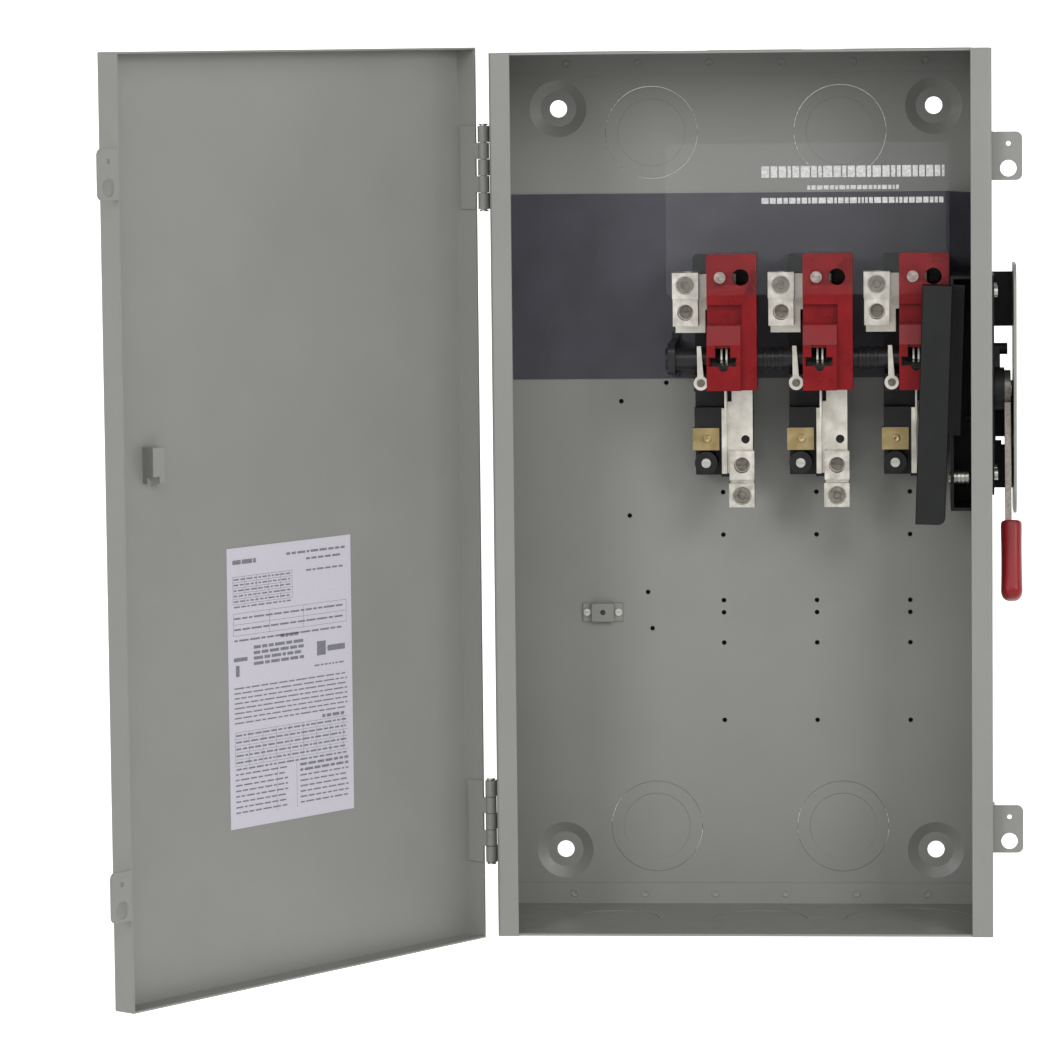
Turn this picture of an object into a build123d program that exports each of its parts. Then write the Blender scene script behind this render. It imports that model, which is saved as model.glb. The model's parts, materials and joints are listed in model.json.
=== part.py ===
"""A heavy-duty, wall-mounted, three-pole AC disconnect: steel box, hinged door, side handle, rotary switch.

Millimetres. X runs to the right, Y into the wall and Z up, seen by someone standing in front of the box.
The origin is the centre of the four wall bolts, in the plane of the wall. The door is built closed and
then swung open; the switch is built in its OFF position, with the handle down.
"""
import math
import os

from build123d import *

os.makedirs("parts", exist_ok=True)

# ---- enclosure -------------------------------------------------------------------------------------
box_width = 393.7
box_height = 702.0
box_depth = 153.0            # wall to the front face of the side returns
sheet = 1.9                  # 14 gauge enclosure steel
return_width = 16.5          # front returns on the two sides
bend = 2.6                   # outer bend radius of the folded sheet
standoff = 4.0               # the wall dimples stand this far behind the back sheet
mount_width = 304.8          # wall bolt pattern
mount_height = 609.6
mount_hole = 14.0
dimple = 50.0
dimple_floor = 31.0
end_flange = 17.0            # flange of each end wall along the back and the sides
end_sheet = 1.5
weld_gap = 0.2               # an end wall is this much narrower than the space it fits
back_knockout = 75.0
knockout_inner = 0.73        # inner ring of a concentric knockout, as a share of the outer one
knockout_gap = 0.15          # width of the sheared line round a knockout
knockout_rise = 0.35         # the outer ring of a knockout stands this far proud
knockout_tab = 4.0           # width of the uncut tabs
knockout_x = 76.5
end_knockouts = ((-108.0, 73.0), (10.0, 76.0), (131.0, 104.0))   # place along X, diameter
drill = 3.8                  # blind nuts in the back wall, for the bases of other ratings
drill_rows = (-9.0, -44.0, -98.0, -108.0, -133.0, -197.0)
spare_drills = ((-82.7, 66.0), (-45.7, 81.0), (-76.7, -28.0), (-62.2, -91.0), (-58.7, -121.0))
nut_r = 3.4

# ---- door and hinges -------------------------------------------------------------------------------
door_open = 126.0            # degrees, the door as it stands in the rest position
door_sheet = 1.5
door_overlap = 3.15          # door flange beyond the side walls
door_overlap_z = 4.5         # door flange beyond the end walls
door_flange = 20.1
hinge_out = 6.15             # hinge axis beyond the side wall
hinge_back = 18.9            # hinge axis behind the front face
hinge_inset = 90.0           # middle of each hinge from the end of the box
knuckle_r = 4.5
knuckles = 5
knuckle_length = 13.2
knuckle_gap = 0.4
pin_r = 2.4
pin_head = 1.2               # how far a peened pin end spreads past the pin
running = 0.05               # radial clearance of every turning fit
leaf = 1.2
leaf_width = 15.0
hasp_width = 24.0
hasp_height = 38.0
hasp_sheet = 1.6
hasp_gap = 0.6               # box hasp to door hasp when closed
hasp_inset = 84.5
hasp_foot = 18.0
seal_hole = 3.8
padlock_hole = 13.0
hasp_hole_pitch = 19.4
hasp_hole_out = 13.15        # line of the two holes beyond the side wall
label_size = (139.0, 215.0)
label_centre = (4.0, -128.0)
label_thick = 0.3
catch_inset = 43.85
catch_z = 49.5
catch_size = (17.0, 27.0, 11.0)

# ---- barrier and shield ----------------------------------------------------------------------------
liner_thick = 1.0
liner_z = (84.5, 235.5)
liner_margin = 3.8           # liner to the left wall
liner_fold = 32.95           # start of the slanted flap from the right wall
flap_margin = 7.95           # end of the flap from the right wall
flap_rise = 49.1             # end of the flap in front of the liner
shield_thick = 1.6
shield_margin = (39.7, 0.7)  # past the first pole, and short of the mechanism frame
shield_z = (158.0, 277.5)

# ---- switch poles, with X from a pole's hole line and Y from the rotor's axis --------------------------
pole_pitch = 76.2
poles = 3
last_pole = 32.4             # hole line of the last pole from the mechanism frame
rotor_depth = 69.1           # rotor's axis in front of the back wall
rotor_z = 104.5
rotor_r = 8.8
hub_r = rotor_r + 3.7
blade_length = 34.0          # from the rotor's axis to each end of a blade
blade_width = 14.0
blade_thick = 1.6
blade_pitch = 4.0            # middle to middle of the two blades of a pole
blade_centre = 5.3
blade_off = 10.0             # degrees above the horizontal when OFF
touch_gap = 0.4              # air each side of a stationary contact
base_x = (-20.8, 25.5)
base_z = (8.0, 186.0)
base_floor = 29.0            # thickness behind the rotor
line_post_z = 143.0          # the line side post stands above this height
line_post_back = 4.0         # its face behind the rotor's axis
load_post_z = 64.0
load_post_back = 20.0
load_foot = 21.0             # height of the foot below the load post
support_width = 13.5         # post that carries the hood, on its right side
strap = 3.0
screw_clear_r = 2.6          # clearance hole for a terminal screw
tapped_r = 2.0
lug_width = 21.0
lug_x = -25.7
line_lug_depth = 24.0
line_lug_z = (132.0, 153.7, 174.8)
load_lug_depth = 22.0
load_lug_z = (-14.8, 4.6, 7.2, 30.5)
load_x = 18.0
wire_r = 7.4
line_screw_z, line_set_z, line_bore_z = 143.0, 164.8, 151.0
load_screw_z, load_set_z, load_bore_z = 19.0, -5.2, 8.0
set_screw_r, set_head_r, set_head = 4.6, 6.5, 2.6
set_recess_r = 7.4
set_socket_r = 3.6
recess_r = 6.4               # deep hole for a lug's fixing screw
recess_depth = 12.0
lug_screw_head = (5.2, 3.0)
strap_screw_x, strap_screw_z = -10.7, 150.0
tongue_start = 20.5          # stationary tongues begin this far from the rotor's axis
red_x = (-8.0, 31.5)
red_z = (82.0, 190.0)
red_front, red_back = 43.0, 2.0     # hood's front and rear edges in front of the rotor's axis
red_wall = 2.4
red_block_x = (-8.0, 19.0)
red_block_front = 49.0
red_block_top = 133.7
red_slope = 15.5
red_step_z = (134.5, 150.0)
red_step_depth = 7.0
window_wide = (-6.6, 15.5, 101.5, 108.5)      # x limits, z limits
window_narrow = (-1.1, 10.7, 108.0, 118.0)
window_round_r = 4.0
bar_clear = 1.2              # hood to rotor bar
screw_x, screw_z = 2.8, 171.8
probe_x, probe_r = 19.1, 6.6
arm_x, arm_z, arm_front = -14.1, 86.0, 12.0   # rivet of the plated arm beside each pole
arm_thick, arm_ring_r = 3.0, 5.8
arm_width = (5.4, 3.4)       # at the ring and at the tip
arm_top = 115.6
rivet_r = 2.4
boss_x, boss_z, boss_r = -11.6, 19.0, 9.2     # round boss for the base screw
brass_x, brass_z, brass_thick = (-20.8, -0.8), (29.5, 47.5), 1.6
bar_left = 42.7              # rotor bar past the first pole
bar_right = 10.5             # rotor bar past the mechanism frame's face
collar_r, collar_width = rotor_r + 1.0, 3.0   # moulded collars on the bar between the poles

# ---- operating mechanism and handle ----------------------------------------------------------------
frame_width = 30.45          # mechanism frame's face from the right wall
frame_sheet = 2.5
frame_front, frame_back = 50.5, rotor_r + 8.2    # in front of and behind the rotor's axis
frame_z = (-14.0, 172.0)
cover_face = 23.5
cover_top = (21.9, 166.0)    # left edge before the frame's face, and height of the cover's top
cover_bottom = (28.2, -23.0)
cover_front = 69.0
cover_sheet = 1.5
anchor_front, anchor_z = 25.0, 10.0
handle_z = 79.5
handle_shaft_r = 6.0
handle_tilt = 18.0           # degrees forward of straight down when OFF
handle_reach = 173.0         # pivot to the end of the grip
grip_length = 63.0
grip_size = (17.2, 25.0)
grip_offset = 2.2            # grip's middle beyond the lever's
grip_round = 5.5
lever_out = (10.75, 15.75)   # lever's faces beyond the side wall
lever_width = 14.0
bracket_out = 17.95          # outer edge of the handle bracket beyond the side wall
guard_sheet = 2.3
guard_z = (-20.0, 179.0)
guard_front, guard_back = 25.0, 49.0
bracket_sheet = 2.5
bracket_margin = 4.0
bracket_z = (-5.0, 171.0)
web_back = 47.0
web_upper_z, web_lower_z = (127.0, 171.0), (-4.0, 83.0)
bracket_bolts = ((-13.0, 12.0), (31.0, 12.0), (-13.0, 158.0), (31.0, 158.0))
bolt_r = 2.5
shaft_inner = 13.95          # inner end of the handle shaft from the side wall
crank_clear = 1.0            # drive pin short of the rotor crank
ground_inset, ground_z = 77.25, -107.4

# ---- worked out from the above ---------------------------------------------------------------------
half_w = box_width / 2
half_h = box_height / 2
wall_x = half_w - sheet                       # inner face of a side wall
back_y = -(standoff + sheet)                  # inner face of the back wall
front_y = -box_depth
knockout_z = half_h - 66.0
hinge_x = -half_w - hinge_out
hinge_y = front_y + hinge_back
hinge_z = half_h - hinge_inset
hasp_z = half_h - hasp_inset
hasp_hole_x = half_w + hasp_hole_out
door_rear = hinge_y - knuckle_r               # rear edge of the closed door's flanges
door_front = door_rear - door_flange
door_inner = door_front + door_sheet
door_x = half_w + door_overlap
door_z = half_h + door_overlap_z
frame_x = wall_x - frame_width
pole_x = [frame_x - last_pole - pole_pitch * n for n in reversed(range(poles))]
base_y = back_y - liner_thick
rotor_y = back_y - rotor_depth
line_post_y = rotor_y + line_post_back
load_post_y = rotor_y + load_post_back
red_y = (rotor_y - red_front, rotor_y - red_back)
red_block_y = rotor_y - red_block_front
arm_y = rotor_y - arm_front
frame_y = (rotor_y - frame_front, rotor_y + frame_back)
cover_y = (rotor_y - cover_front, frame_y[0])
anchor_y = rotor_y - anchor_front
handle_y = rotor_y
guard_y = (rotor_y - guard_front, rotor_y + guard_back)
web_y = rotor_y + web_back
bracket_x = half_w + bracket_out
lever_x = (half_w + lever_out[0], half_w + lever_out[1])
shaft_x = (wall_x - shaft_inner, bracket_x - 1.4)
cover_lean = math.degrees(math.atan2(cover_bottom[0] - cover_top[0], cover_top[1] - cover_bottom[1]))


def block(x, y, z, mode=Mode.ADD):
    """Rectangular block between the limits x, y and z."""
    with Locations((sum(x) / 2, sum(y) / 2, sum(z) / 2)):
        Box(abs(x[1] - x[0]), abs(y[1] - y[0]), abs(z[1] - z[0]), mode=mode)


def rod_x(x, y, z, radius, mode=Mode.ADD):
    """Round bar along X."""
    with Locations(Location((sum(x) / 2, y, z), (0, 90, 0))):
        Cylinder(radius, abs(x[1] - x[0]), mode=mode)


def rod_y(x, y, z, radius, mode=Mode.ADD):
    """Round bar along Y."""
    with Locations(Location((x, sum(y) / 2, z), (90, 0, 0))):
        Cylinder(radius, abs(y[1] - y[0]), mode=mode)


def rod_z(x, y, z, radius, mode=Mode.ADD):
    """Round bar along Z."""
    with Locations((x, y, sum(z) / 2)):
        Cylinder(radius, abs(z[1] - z[0]), mode=mode)


def keep(piece, name):
    """Label a finished piece and write it."""
    piece.part.label = name
    export_step(piece.part, f"parts/{name}.step")


def swing(piece):
    """Swing a door piece from closed to the open rest position."""
    piece.part = piece.part.rotate(Axis((hinge_x, hinge_y, 0), (0, 0, 1)), -door_open)


def tilt(piece, y, z, degrees):
    """Turn a piece about an axis along X through y, z: positive takes the top forward."""
    piece.part = piece.part.rotate(Axis((0, y, z), (1, 0, 0)), degrees)


# ---- enclosure wrap: back, sides and front returns folded from one sheet ----------------------------
nut_places = [(x, z) for x in pole_x for z in drill_rows]
nut_places += [(pole_x[0] + x, z) for x, z in spare_drills]
with BuildPart() as enclosure_wrap:
    with BuildSketch(Plane.XY.offset(-half_h)) as section:
        with BuildLine():
            Polyline((-half_w + return_width, front_y), (-half_w, front_y), (-half_w, -standoff),
                     (half_w, -standoff), (half_w, front_y), (half_w - return_width, front_y),
                     (half_w - return_width, front_y + sheet), (wall_x, front_y + sheet),
                     (wall_x, back_y), (-wall_x, back_y), (-wall_x, front_y + sheet),
                     (-half_w + return_width, front_y + sheet), close=True)
        make_face()
        fillet([v for v in section.vertices() if abs(abs(v.X) - half_w) < 0.01], bend)
    extrude(amount=box_height)
    for sx in (-1, 1):
        for sz in (-1, 1):
            cx, cz = sx * mount_width / 2, sz * mount_height / 2
            with Locations(Location((cx, -standoff / 2, cz), (-90, 0, 0))):
                Cone(dimple / 2, dimple_floor / 2, standoff)
            with Locations(Location((cx, -standoff / 2 - sheet, cz), (-90, 0, 0))):
                Cone(dimple / 2 - sheet, dimple_floor / 2 - sheet / 2, standoff, mode=Mode.SUBTRACT)
            rod_y(cx, (back_y - 1, 1), cz, mount_hole / 2, Mode.SUBTRACT)
            rod_y(sx * knockout_x, (back_y - 1, 0), sz * knockout_z, back_knockout / 2, Mode.SUBTRACT)
    for x, z in nut_places:
        rod_y(x, (back_y - 1, 0), z, drill / 2, Mode.SUBTRACT)
    rod_x((wall_x - 1, half_w + 1), handle_y, handle_z, handle_shaft_r + running, Mode.SUBTRACT)
keep(enclosure_wrap, "enclosure_wrap")

# Blind nuts clinched behind the back wall: closed cups whose thread shows through the drilled holes.
with BuildPart() as blind_nuts:
    for x, z in nut_places:
        rod_y(x, (-standoff, -0.4), z, nut_r)
        rod_y(x, (-standoff - 1, -1.4), z, drill / 2 - 0.3, Mode.SUBTRACT)
keep(blind_nuts, "blind_nuts")

# ---- end walls: flanged pans welded inside the wrap --------------------------------------------------
knockout_y = (front_y + back_y) / 2
for side, name in ((1, "top_endwall"), (-1, "bottom_endwall")):
    outer, inner = side * half_h, side * (half_h - sheet)
    span = wall_x - weld_gap
    front, rear = front_y + sheet + weld_gap, back_y - weld_gap
    flange_z = (inner, inner - side * end_flange)
    with BuildPart() as endwall:
        block((-span, span), (front, rear), (inner, outer))
        block((-span, span), (rear - end_sheet, rear), flange_z)
        for sx in (-1, 1):
            block((sx * span, sx * (span - end_sheet)), (front, rear), flange_z)
        for x, size in end_knockouts:
            rod_z(x, knockout_y, (inner - side, outer + side), size / 2, Mode.SUBTRACT)
    keep(endwall, name)

# ---- knockouts: the outer ring stands a little proud of the disc, and two tabs hold it ----------------
with BuildPart() as knockouts:
    for sx in (-1, 1):
        for sz in (-1, 1):
            cx, cz, outer_r = sx * knockout_x, sz * knockout_z, back_knockout / 2
            rod_y(cx, (back_y - knockout_rise, -standoff), cz, outer_r - knockout_gap)
            rod_y(cx, (back_y - knockout_rise - 1, back_y), cz, outer_r * knockout_inner, Mode.SUBTRACT)
            block((cx - outer_r + knockout_gap / 2, cx + outer_r - knockout_gap / 2),
                  (back_y + 0.5, -standoff), (cz - knockout_tab / 2, cz + knockout_tab / 2))
    for side in (-1, 1):
        low, high = side * (half_h - sheet), side * half_h
        for x, size in end_knockouts:
            rod_z(x, knockout_y, (low + side * knockout_rise, high + side * knockout_rise),
                  size / 2 - knockout_gap)
            block((x - size / 2 + knockout_gap / 2, x + size / 2 - knockout_gap / 2),
                  (knockout_y - knockout_tab / 2, knockout_y + knockout_tab / 2),
                  (low + side * knockout_rise, high))
keep(knockouts, "knockouts")

# ---- hinges: five knuckles each, the odd ones on the box ---------------------------------------------
hinge_half = knuckles * knuckle_length / 2
joint_gap = knuckle_gap / 2


def hinge_knuckles(first):
    """Every second knuckle of both hinges, starting at knuckle number first: its Z limits."""
    for side in (-1, 1):
        for n in range(first, knuckles, 2):
            low = side * hinge_z - hinge_half + n * knuckle_length + joint_gap
            yield low, low + knuckle_length - knuckle_gap


def leaf_limits(side):
    """Z limits of the leaf of the upper or the lower hinge."""
    return side * hinge_z - hinge_half + joint_gap, side * hinge_z + hinge_half - joint_gap


def pin_holes():
    """Bore both hinges for their pins."""
    for side in (-1, 1):
        rod_z(hinge_x, hinge_y, (side * hinge_z - hinge_half - 1, side * hinge_z + hinge_half + 1),
              pin_r + running, Mode.SUBTRACT)


leaf_strip = leaf + 0.5                       # the box leaf is rolled a little thicker at the knuckles
with BuildPart() as box_hinge_leaves:
    for span in hinge_knuckles(0):
        rod_z(hinge_x, hinge_y, span, knuckle_r)
        block((hinge_x, -half_w), (hinge_y + knuckle_r - leaf_strip, hinge_y + knuckle_r), span)
    for side in (-1, 1):
        block((hinge_x + knuckle_r, -half_w),
              (hinge_y + knuckle_r - leaf_strip, hinge_y + leaf_width + knuckle_r), leaf_limits(side))
    pin_holes()
keep(box_hinge_leaves, "box_hinge_leaves")

with BuildPart() as hinge_pins:
    for side in (-1, 1):
        middle = side * hinge_z
        rod_z(hinge_x, hinge_y, (middle - hinge_half - 1.5, middle + hinge_half + 1.5), pin_r)
        for end in (-1, 1):
            z = middle + end * hinge_half
            rod_z(hinge_x, hinge_y, (z + end * 0.4, z + end * 1.6), pin_r + pin_head)
keep(hinge_pins, "hinge_pins")

leaf_out = -(door_x - door_sheet)             # outer face of the door's hinge leaf, against the flange
leaf_reach = door_rear + 0.5                  # the leaf shows this far past the flange's rear edge
arm_span = (hinge_y - 2.4, hinge_y - 0.6)     # strip that joins a knuckle to its leaf
with BuildPart() as door_hinge_leaves:
    for span in hinge_knuckles(1):
        rod_z(hinge_x, hinge_y, span, knuckle_r)
        block((hinge_x, leaf_out + leaf), arm_span, span)
        block((leaf_out, leaf_out + leaf), (arm_span[1], leaf_reach), span)
    for side in (-1, 1):
        block((leaf_out, leaf_out + leaf), (door_rear - leaf_width, leaf_reach), leaf_limits(side))
    pin_holes()
swing(door_hinge_leaves)
keep(door_hinge_leaves, "door_hinge_leaves")

# ---- door: a shallow pan that closes over the box ----------------------------------------------------
with BuildPart() as door_panel:
    block((-door_x, door_x), (door_front, door_rear), (-door_z, door_z))
    fillet(door_panel.edges().group_by(Axis.Y)[0], door_sheet * 0.9)
    block((-door_x + door_sheet, door_x - door_sheet), (door_inner, door_rear + 1),
          (-door_z + door_sheet, door_z - door_sheet), Mode.SUBTRACT)
swing(door_panel)
keep(door_panel, "door_panel")


# ---- hasps for padlocks, on the free side of the door and on the box ----------------------------------
def hasp_plates(piece, x0, y):
    """Two ear plates from x0 outwards, each with a seal hole above a padlock hole."""
    for side in (-1, 1):
        middle = side * hasp_z
        block((x0, half_w + hasp_width), (y, y + hasp_sheet),
              (middle - hasp_height / 2, middle + hasp_height / 2))
    fillet(piece.edges().filter_by(Axis.Y).group_by(Axis.X)[-1], 5)
    for side in (-1, 1):
        middle = side * hasp_z
        through = (y - 1, y + hasp_sheet + 1)
        rod_y(hasp_hole_x, through, middle + hasp_hole_pitch / 2, seal_hole / 2, Mode.SUBTRACT)
        rod_y(hasp_hole_x, through, middle - hasp_hole_pitch / 2, padlock_hole / 2, Mode.SUBTRACT)


with BuildPart() as door_hasps:
    hasp_plates(door_hasps, door_x, door_rear - hasp_sheet)
swing(door_hasps)
keep(door_hasps, "door_hasps")

box_hasp_y = door_rear + hasp_gap
with BuildPart() as box_hasps:
    hasp_plates(box_hasps, half_w, box_hasp_y)
    for side in (-1, 1):
        block((half_w, half_w + hasp_sheet), (box_hasp_y, box_hasp_y + hasp_foot),
              (side * hasp_z - hasp_height / 2, side * hasp_z + hasp_height / 2))
keep(box_hasps, "box_hasps")

# ---- interlock catch and label on the inside of the door ----------------------------------------------
with BuildPart() as door_catch:
    width, height, depth = catch_size
    left, right = half_w - catch_inset - width / 2, half_w - catch_inset + width / 2
    clip_z = (catch_z - height / 2, catch_z + height / 2)
    block((left, right), (door_inner, door_inner + 2), clip_z)
    block((right - 2, right), (door_inner, door_inner + depth), clip_z)
    block((left + 4, right), (door_inner + depth - 2, door_inner + depth), clip_z)
    fillet(door_catch.edges().filter_by(Axis.Y).group_by(Axis.X)[0], 1.5)
    block((right - 6.5, right + 1), (door_inner + 5, door_inner + depth + 1),
          (clip_z[0] - 1, clip_z[0] + 5), Mode.SUBTRACT)
swing(door_catch)
keep(door_catch, "door_catch")

with BuildPart() as door_label:
    lx, lz = label_centre
    block((lx - label_size[0] / 2, lx + label_size[0] / 2), (door_inner, door_inner + label_thick),
          (lz - label_size[1] / 2, lz + label_size[1] / 2))
swing(door_label)
keep(door_label, "door_label")

# ---- insulating liner with a slanted flap, and the clear line shield ----------------------------------
with BuildPart() as insulating_liner:
    liner_x = (-wall_x + liner_margin, wall_x - liner_fold)
    liner_y = (back_y - liner_thick, back_y)
    flap_x, flap_y = wall_x - flap_margin, liner_y[0] - flap_rise
    block(liner_x, liner_y, liner_z)
    with BuildSketch(Plane.XY.offset(liner_z[0])):
        with BuildLine():
            Polyline((liner_x[1], liner_y[1]), (liner_x[1], liner_y[0]),
                     (flap_x - liner_thick, flap_y), (flap_x, flap_y), close=True)
        make_face()
    extrude(amount=liner_z[1] - liner_z[0])
keep(insulating_liner, "insulating_liner")

shield_x = (pole_x[0] - shield_margin[0], frame_x - shield_margin[1])
shield_y = (red_y[0] - shield_thick, red_y[0])
with BuildPart() as line_shield:
    block(shield_x, shield_y, shield_z)
    fillet(line_shield.edges().filter_by(Axis.Y), 4)
    for x in pole_x:
        through = (shield_y[0] - 1, shield_y[1] + 1)
        rod_y(x + screw_x, through, screw_z, screw_clear_r, Mode.SUBTRACT)
        rod_y(x + probe_x, through, screw_z, probe_r, Mode.SUBTRACT)
keep(line_shield, "line_shield")

# ---- the poles ---------------------------------------------------------------------------------------
tongue_x = (blade_centre - blade_pitch / 2 + blade_thick / 2 + touch_gap,
            blade_centre + blade_pitch / 2 - blade_thick / 2 - touch_gap)
tongue_front = rotor_y - 12.0
line_strap_y = (line_post_y - strap, line_post_y)
load_strap_y = (load_post_y - strap, load_post_y)
line_lug_y = (line_strap_y[0] - line_lug_depth, line_strap_y[0])
load_lug_y = (load_strap_y[0] - load_lug_depth, load_strap_y[0])
line_bore_y = sum(line_lug_y) / 2 + 2.0
load_bore_y = sum(load_lug_y) / 2 + 1.5
hood_y = red_y[0] + red_wall + red_step_depth   # inside face of the hood's front above the blades
foot_top = base_z[0] + load_foot


def lug_holes(lug, y, bore_y, set_z, screw_z_):
    """Set screw hole, head recess, and the deep hole of the fixing screw, all along Y."""
    rod_y(lug, (y[0], bore_y), set_z, set_screw_r, Mode.SUBTRACT)
    rod_y(lug, (y[0], y[0] + set_head), set_z, set_recess_r, Mode.SUBTRACT)
    rod_y(lug, (y[0], y[0] + recess_depth), screw_z_, recess_r, Mode.SUBTRACT)
    rod_y(lug, (y[0], y[1] + 1), screw_z_, screw_clear_r, Mode.SUBTRACT)


for number, px in enumerate(pole_x, start=1):
    # moulded base with a post on the line side and a post on the load side
    with BuildPart() as pole_base:
        left, right = px + base_x[0], px + base_x[1]
        hood_x = px + red_x[1] - red_wall
        block((left, right), (base_y - base_floor, base_y), base_z)
        block((left, right), (line_post_y, base_y), (line_post_z, base_z[1]))
        block((left, right), (load_post_y, base_y), (foot_top, load_post_z))
        block((px + 0.5, right), (load_post_y, base_y), (base_z[0], foot_top))
        block((hood_x - support_width, hood_x), (hood_y, line_post_y), (line_post_z + 10, base_z[1]))
        block((px + arm_x - 5.5, px + arm_x + 5.5), (arm_y, base_y), (arm_z - 7, arm_z + 6.5))
        rod_y(px + boss_x, (load_post_y, base_y), boss_z, boss_r)
        rod_y(px + boss_x, (load_post_y - 1, base_y + 1), boss_z, tapped_r, Mode.SUBTRACT)
        rod_y(px + screw_x, (line_post_y - 1, line_post_y + 14), screw_z, tapped_r, Mode.SUBTRACT)
        rod_y(px + probe_x, (hood_y - 1, line_post_y - 4), screw_z, probe_r, Mode.SUBTRACT)
        rod_y(px + arm_x, (arm_y - 1, arm_y + 9), arm_z, tapped_r, Mode.SUBTRACT)
        rod_y(px + strap_screw_x, (line_post_y - 1, line_post_y + 9), strap_screw_z, tapped_r, Mode.SUBTRACT)
        rod_y(px + load_x, (load_post_y - 1, load_post_y + 9), load_screw_z, screw_clear_r, Mode.SUBTRACT)
    keep(pole_base, f"pole_base_{number}")

    # red arc shield: a hood over the blades with a sight window
    with BuildPart() as arc_shield:
        hood = (px + red_x[0], px + red_x[1])
        cap = (px + red_block_x[0], px + red_block_x[1])
        slope_z = red_block_top - red_slope
        block(hood, red_y, red_z)
        fillet(arc_shield.edges().filter_by(Axis.Y).group_by(Axis.Z)[-1], 1.6)
        with BuildSketch(Plane.YZ.offset(cap[0])):
            with BuildLine():
                Polyline((red_y[0] + 1, red_z[0]), (red_block_y, red_z[0]), (red_block_y, slope_z),
                         (red_y[0] - 1.5, red_block_top), (red_y[0] + 1, red_block_top), close=True)
            make_face()
        extrude(amount=cap[1] - cap[0])
        hollow_x = (hood[0] + red_wall, hood[1] - red_wall)
        block(hollow_x, (hood_y, red_y[1] + 1), (red_z[0] - 1, red_z[1] - red_wall), Mode.SUBTRACT)
        block(hollow_x, (red_y[0] + red_wall, red_y[0] + 12), (red_z[0] - 1, red_step_z[0] - red_wall),
              Mode.SUBTRACT)
        block((cap[0] + red_wall, cap[1] - red_wall), (red_block_y + red_wall, red_y[0] + 12),
              (red_z[0] - 1, slope_z - red_wall), Mode.SUBTRACT)
        block((hood[0] - 1, cap[1] + 0.7), (red_y[0] - 1, red_y[0] + red_step_depth), red_step_z,
              Mode.SUBTRACT)
        window_y = (red_block_y - 1, red_block_y + red_wall + 1)
        for x0, x1, z0, z1 in (window_wide, window_narrow):
            block((px + x0, px + x1), window_y, (z0, z1), Mode.SUBTRACT)
        rod_y(px + blade_centre, window_y, window_wide[2], window_round_r, Mode.SUBTRACT)
        rod_y(px + probe_x, (red_y[0] - 1, hood_y + 1), screw_z, probe_r, Mode.SUBTRACT)
        rod_y(px + screw_x, (red_y[0] - 1, hood_y + 1), screw_z, tapped_r + 0.2, Mode.SUBTRACT)
        reach = rotor_r + bar_clear
        block((hood[0] - 1, hood[1] + 1), (rotor_y - reach, red_y[1] + 1), (rotor_z - reach, rotor_z + reach),
              Mode.SUBTRACT)
    keep(arc_shield, f"arc_shield_{number}")

    # line terminal: plated copper strap with the stationary contact tongue, and its lug
    lug = px + lug_x
    with BuildPart() as line_contact:
        strap_left, strap_top = lug - lug_width / 2 + 1.5, 172.5
        through = (line_strap_y[0] - 1, line_strap_y[1] + 1)
        block((strap_left, px + 14), line_strap_y, (line_post_z + 1, strap_top))
        block((strap_left, px + strap_screw_x), line_strap_y, (125.5, strap_top))
        block((px + tongue_x[0], px + tongue_x[1]), (tongue_front, line_strap_y[1]),
              (rotor_z + tongue_start, line_post_z + 12))
        rod_y(lug, through, line_screw_z, screw_clear_r, Mode.SUBTRACT)
        rod_y(px + screw_x, through, screw_z, screw_clear_r, Mode.SUBTRACT)
        rod_y(px + strap_screw_x, through, strap_screw_z, tapped_r, Mode.SUBTRACT)
    keep(line_contact, f"line_contact_{number}")

    with BuildPart() as line_lug:
        low, step, high = line_lug_z
        block((lug - lug_width / 2, lug + lug_width / 2), line_lug_y, (step, high))
        block((lug - lug_width / 2 + 0.4, lug + lug_width / 2 - 0.4), (line_lug_y[0] + 1.2, line_lug_y[1]),
              (low, step))
        rod_z(lug, line_bore_y, (line_bore_z, high + 1), wire_r, Mode.SUBTRACT)
        lug_holes(lug, line_lug_y, line_bore_y, line_set_z, line_screw_z)
    keep(line_lug, f"line_lug_{number}")

    # load terminal: plated copper angle with its contact tongue, and its lug
    with BuildPart() as load_contact:
        angle_x, outer_x = px + 5.5, px + 26.2
        through = (load_strap_y[0] - 1, load_strap_y[1] + 1)
        block((angle_x, outer_x), load_strap_y, (11.0, 69.0))
        block((px + blade_centre + blade_pitch, outer_x), load_strap_y, (11.0, 90.0))
        block((px + 1.4, angle_x), (load_strap_y[0] - 6, load_strap_y[1]), (11.0, load_post_z))
        block((px + tongue_x[0], px + tongue_x[1]), (tongue_front, load_strap_y[1]),
              (55.0, rotor_z - tongue_start))
        rod_y(px + 20.3, through, 38.3, 3.4, Mode.SUBTRACT)
        rod_y(px + load_x, through, load_screw_z, screw_clear_r, Mode.SUBTRACT)
    keep(load_contact, f"load_contact_{number}")

    lug = px + load_x
    with BuildPart() as load_lug:
        low, waist, step, high = load_lug_z
        block((lug - 10.0, lug + 10.0), (load_lug_y[0] + 1.2, load_lug_y[1]), (step, high))
        block((lug - 10.4, lug + 10.0), load_lug_y, (low, waist))
        block((lug - 9.4, lug + 9.4), (load_lug_y[0] + 5, load_lug_y[1]), (waist, step))
        rod_z(lug, load_bore_y, (low - 1, load_bore_z), wire_r, Mode.SUBTRACT)
        lug_holes(lug, load_lug_y, load_bore_y, load_set_z, load_screw_z)
    keep(load_lug, f"load_lug_{number}")

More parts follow.
